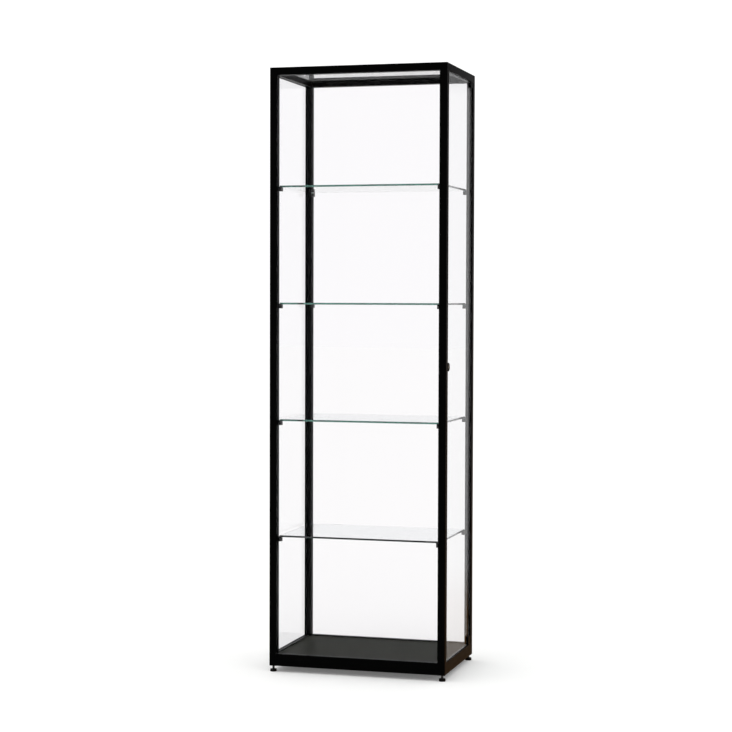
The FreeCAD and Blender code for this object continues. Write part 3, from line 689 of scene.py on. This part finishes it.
def foot_stud(corner):
    """Threaded stud: the groove follows a helix of the thread's pitch, and the tip is chamfered."""
    low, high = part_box("foot_stud_" + corner)
    middle = (low + high) / 2
    radius = (high.x - low.x) / 2
    tall = high.z - low.z
    pitch = sizes().thread_pitch
    depth = sizes().thread_depth
    chamfer = 1.0 * MM
    chamfer_depth = 0.8 * MM
    rows_per_turn = 8
    rows = int(tall / pitch * rows_per_turn)
    profile = [(0, 0)] + [(radius, tall * row / rows) for row in range(rows + 1)] + [(0, tall)]

    def thread(angle, height):
        turn = (height / pitch - angle / (2 * math.pi)) % 1.0
        flank = abs(2 * turn - 1)
        groove = min(1.0, max(0.0, 1.25 * flank - 0.12))
        lead_in = min(1.0, (tall - height) / chamfer)
        return -depth * groove - (1 - lead_in) * chamfer_depth

    return turned("foot_stud_threaded_" + corner, profile, Vector((middle.x, middle.y, low.z)), (0, 0, 1),
                  steps=32, radius_change=thread)


class CABINET_OT_feet(bpy.types.Operator):
    """Turn the four levelling feet: fluted nylon discs on threaded studs"""

    bl_idname = "cabinet.feet"
    bl_label = "Feet"

    def execute(self, context):
        for corner in CORNERS:
            disc = foot_disc(corner)
            disc.data.materials.append(moulded_nylon())
            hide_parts("foot_disc_" + corner)
            stud = foot_stud(corner)
            stud.data.materials.append(zinc_plated_steel())
            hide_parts("foot_stud_" + corner)
            for piece in (disc, stud):
                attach(piece, "foot_" + corner)
        return {"FINISHED"}


class CABINET_OT_hidden_hardware(bpy.types.Operator):
    """Finish the connectors, spigots, brackets, screws and foot inserts inside the frame"""

    bl_idname = "cabinet.hidden_hardware"
    bl_label = "Hardware inside the frame"

    def execute(self, context):
        for name in ("top_corner_connectors", "base_spigots"):
            soften(finish_node(name, die_cast_aluminium()), sizes().pin_edge)
        for name in ("base_corner_brackets", "bracket_screws", "foot_inserts"):
            soften(finish_node(name, zinc_plated_steel()), sizes().hardware_edge)
        return {"FINISHED"}


# Stage --------------------------------------------------------------------------------------------

# What each part of the surround shows, in linear colour, and how strongly the floor glows.
WARM_GROUND = (0.27, 0.14, 0.05, 1.0)
GREY_ROOM = (0.17, 0.17, 0.175, 1.0)
LIT_WALL = (0.85, 0.87, 0.87, 1.0)
SOFTBOX = (0.68, 0.68, 0.68, 1.0)
DARK_ROOM = (0.045, 0.045, 0.045, 1.0)
# A patch of painted shade in the backdrop, seen only straight through the glass, which darkens a narrow band
# of the view through the cabinet.
PAINTED_SHADE = (0.03, 0.03, 0.03, 1.0)
FLOOR_GLOW = 0.13

# Directions along X, Y and Z. Those of the softbox and the painted shade patch are parts of a unit vector.
TOWARDS_WALL = (-0.45, 0.89, 0.05)
SOFTBOX_ACROSS = 0.228
PAINTED_SHADE_ACROSS = -0.2525
PAINTED_SHADE_HALF_WIDTH = 0.0505
PAINTED_SHADE_UP = 0.1265
PAINTED_SHADE_HALF_HEIGHT = 0.014
KEY_DIRECTION = (0.16, 0.10, -1.0)


def pale_floor():
    """A wide seamless floor, matt and pale, which glows a little and is left out of reflections."""
    colour = bpy.context.scene.cabinet_stage.floor_colour
    mesh = bpy.data.meshes.new("floor")
    reach = 40.0
    corners = [(-reach, -reach, 0), (reach, -reach, 0), (reach, reach, 0), (-reach, reach, 0)]
    mesh.from_pydata(corners, [], [(0, 1, 2, 3)])
    floor = bpy.data.objects.new("floor", mesh)
    bpy.context.scene.collection.objects.link(floor)
    material, tree, output = new_material("painted_floor_matt")
    shader = add(tree, "ShaderNodeBsdfPrincipled",
                 {"Base Color": linear(colour), "Roughness": 0.9, "Specular IOR Level": 0.0,
                  "Emission Color": (1.0, 1.0, 1.0, 1.0), "Emission Strength": FLOOR_GLOW})
    tree.links.new(shader.outputs["BSDF"], output.inputs["Surface"])
    mesh.materials.append(material)
    floor.visible_glossy = False


def softbox_strip(tree, across, behind, height):
    """Share of a tall narrow softbox, behind and to the right, which brightens the door's glass."""
    off_centre = add(tree, "ShaderNodeMath", {"operation": "SUBTRACT", 1: SOFTBOX_ACROSS}, {0: across})
    distance = add(tree, "ShaderNodeMath", {"operation": "ABSOLUTE"}, {0: off_centre.outputs["Value"]})
    middle = add(tree, "ShaderNodeMapRange",
                 {"interpolation_type": "SMOOTHSTEP", "From Min": 0.02, "From Max": 0.045,
                  "To Min": 1.0, "To Max": 0.0}, {"Value": distance.outputs["Value"]})
    at_rear = add(tree, "ShaderNodeMath", {"operation": "GREATER_THAN", 1: 0.8}, {0: behind})
    foot = add(tree, "ShaderNodeMapRange",
               {"interpolation_type": "SMOOTHSTEP", "From Min": -0.165, "From Max": -0.135},
               {"Value": height})
    head = add(tree, "ShaderNodeMapRange",
               {"interpolation_type": "SMOOTHSTEP", "From Min": 0.106, "From Max": 0.112,
                "To Min": 1.0, "To Max": 0.0}, {"Value": height})
    share = middle.outputs["Result"]
    for limit in (at_rear.outputs["Value"], foot.outputs["Result"], head.outputs["Result"]):
        share = add(tree, "ShaderNodeMath", {"operation": "MULTIPLY"},
                    {0: share, 1: limit}).outputs["Value"]
    return share


def reflected_surround(tree, heading, across, behind, height):
    """What the cabinet mirrors: warm ground, grey room, lit wall, softbox and a dark room in front."""
    above = add(tree, "ShaderNodeMapRange",
                {"interpolation_type": "SMOOTHSTEP", "From Min": -0.12, "From Max": 0.06},
                {"Value": height})
    facing = add(tree, "ShaderNodeVectorMath",
                 {"operation": "DOT_PRODUCT", 1: Vector(TOWARDS_WALL).normalized()}, {0: heading})
    lit = add(tree, "ShaderNodeMapRange",
              {"interpolation_type": "SMOOTHSTEP", "From Min": 0.80, "From Max": 0.93},
              {"Value": facing.outputs["Value"]})
    in_front = add(tree, "ShaderNodeMapRange",
                   {"interpolation_type": "SMOOTHSTEP", "From Min": -0.3, "From Max": 0.1,
                    "To Min": 1.0, "To Max": 0.0}, {"Value": behind})
    mirrored = add(tree, "ShaderNodeMix", {"data_type": "RGBA", 6: WARM_GROUND, 7: GREY_ROOM},
                   {0: above.outputs["Result"]})
    layers = ((LIT_WALL, lit.outputs["Result"]), (SOFTBOX, softbox_strip(tree, across, behind, height)),
              (DARK_ROOM, in_front.outputs["Result"]))
    for colour, share in layers:
        mirrored = add(tree, "ShaderNodeMix", {"data_type": "RGBA", 7: colour},
                       {0: share, 6: mirrored.outputs[2]})
    return mirrored.outputs[2]


def painted_shade_patch(tree, path, across, height):
    """Share of a patch of painted shade above the backdrop, seen only straight through glass, which darkens
    a narrow band of the view through the cabinet.
    """
    bounces = add(tree, "ShaderNodeMath", {"operation": "ADD"},
                  {0: path.outputs["Diffuse Depth"], 1: path.outputs["Glossy Depth"]})
    straight = add(tree, "ShaderNodeMath", {"operation": "LESS_THAN", 1: 0.5},
                   {0: bounces.outputs["Value"]})
    sideways = add(tree, "ShaderNodeMath",
                   {"operation": "COMPARE", 1: PAINTED_SHADE_ACROSS, 2: PAINTED_SHADE_HALF_WIDTH}, {0: across})
    upward = add(tree, "ShaderNodeMath",
                 {"operation": "COMPARE", 1: PAINTED_SHADE_UP, 2: PAINTED_SHADE_HALF_HEIGHT}, {0: height})
    share = path.outputs["Is Transmission Ray"]
    for limit in (straight, sideways, upward):
        share = add(tree, "ShaderNodeMath", {"operation": "MULTIPLY"},
                    {0: share, 1: limit.outputs["Value"]}).outputs["Value"]
    return share


def studio_world():
    """White backdrop as seen, an even light on matt surfaces and a separate surround in reflections."""
    stage = bpy.context.scene.cabinet_stage
    world = bpy.data.worlds.new("studio")
    world.use_nodes = True
    tree = world.node_tree
    tree.nodes.clear()
    heading = add(tree, "ShaderNodeTexCoord").outputs["Generated"]
    direction = add(tree, "ShaderNodeSeparateXYZ", links={0: heading})
    across, behind, height = (direction.outputs[axis] for axis in "XYZ")
    path = add(tree, "ShaderNodeLightPath")
    seen = add(tree, "ShaderNodeMath", {"operation": "MAXIMUM"},
               {0: path.outputs["Is Camera Ray"], 1: path.outputs["Is Transmission Ray"]})
    white = (stage.surround, stage.surround, stage.surround, 1.0)
    even = (stage.ambient, stage.ambient, stage.ambient, 1.0)
    shown = reflected_surround(tree, heading, across, behind, height)
    # Painted shade: a dark patch seen only straight through the glass.
    layers = ((white, seen.outputs["Value"]), (PAINTED_SHADE, painted_shade_patch(tree, path, across, height)),
              (even, path.outputs["Is Diffuse Ray"]))
    for colour, share in layers:
        shown = add(tree, "ShaderNodeMix", {"data_type": "RGBA", 7: colour},
                    {0: share, 6: shown}).outputs[2]
    backdrop = add(tree, "ShaderNodeBackground", {"Strength": 1.0}, {"Color": shown})
    output = add(tree, "ShaderNodeOutputWorld")
    tree.links.new(backdrop.outputs["Background"], output.inputs["Surface"])
    bpy.context.scene.world = world


def key_light():
    """One very broad light, high on the left, which leaves a soft shadow to the right."""
    stage = bpy.context.scene.cabinet_stage
    lamp = bpy.data.lights.new("key", "SUN")
    lamp.energy = stage.key_strength
    lamp.angle = stage.key_spread
    light = bpy.data.objects.new("key", lamp)
    light.rotation_euler = Vector(KEY_DIRECTION).to_track_quat("-Z", "Y").to_euler()
    bpy.context.scene.collection.objects.link(light)


def studio_camera():
    """A long lens at eye height, to the front right of the cabinet."""
    stage = bpy.context.scene.cabinet_stage
    heading, tilt, roll = stage.camera_heading, stage.camera_tilt, stage.camera_roll
    forward = Vector((-math.sin(heading) * math.cos(tilt), math.cos(heading) * math.cos(tilt),
                      -math.sin(tilt)))
    level = Vector((math.cos(heading), math.sin(heading), 0))
    upward = level.cross(forward)
    right = level * math.cos(roll) + upward * math.sin(roll)
    up = upward * math.cos(roll) - level * math.sin(roll)
    lens = bpy.data.cameras.new("camera")
    lens.lens = stage.camera_lens
    lens.sensor_width = 36.0
    camera = bpy.data.objects.new("camera", lens)
    turn = Matrix((right, up, -forward)).transposed().to_4x4()
    camera.matrix_world = Matrix.Translation(stage.camera_place) @ turn
    bpy.context.scene.collection.objects.link(camera)
    bpy.context.scene.camera = camera


class CABINET_OT_stage(bpy.types.Operator):
    """Set the floor, backdrop, light and camera"""

    bl_idname = "cabinet.stage"
    bl_label = "Stage"

    def execute(self, context):
        pale_floor()
        studio_world()
        key_light()
        studio_camera()
        context.scene.view_settings.view_transform = "Standard"
        return {"FINISHED"}


class CABINET_PT_panel(bpy.types.Panel):
    """Buttons for each group of pieces, and their settings"""

    bl_label = "Glass display cabinet"
    bl_idname = "CABINET_PT_panel"
    bl_space_type = "VIEW_3D"
    bl_region_type = "UI"
    bl_category = "Cabinet"

    def draw(self, context):
        column = self.layout.column(align=True)
        for operator in OPERATORS:
            column.operator(operator.bl_idname)
        scene = context.scene
        for group in (scene.cabinet_sizes, scene.cabinet_colours, scene.cabinet_stage):
            box = self.layout.box()
            for name in group.__annotations__:
                box.prop(group, name)


GROUPS = (CabinetColours, CabinetSizes, CabinetStage)
OPERATORS = (
    CABINET_OT_stage,
    CABINET_OT_frame,
    CABINET_OT_panes,
    CABINET_OT_shelves,
    CABINET_OT_clips,
    CABINET_OT_deck,
    CABINET_OT_seals,
    CABINET_OT_door_fittings,
    CABINET_OT_lock,
    CABINET_OT_feet,
    CABINET_OT_hidden_hardware,
)
CLASSES = GROUPS + OPERATORS + (CABINET_PT_panel,)


def register():
    for cls in CLASSES:
        bpy.utils.register_class(cls)
    bpy.types.Scene.cabinet_colours = bpy.props.PointerProperty(type=CabinetColours)
    bpy.types.Scene.cabinet_sizes = bpy.props.PointerProperty(type=CabinetSizes)
    bpy.types.Scene.cabinet_stage = bpy.props.PointerProperty(type=CabinetStage)


def unregister():
    for name in ("cabinet_colours", "cabinet_sizes", "cabinet_stage"):
        delattr(bpy.types.Scene, name)
    for cls in reversed(CLASSES):
        bpy.utils.unregister_class(cls)


def main():
    register()
    for operator in OPERATORS:
        group, name = operator.bl_idname.split(".")
        getattr(getattr(bpy.ops, group), name)()


if __name__ == "__main__":
    main()
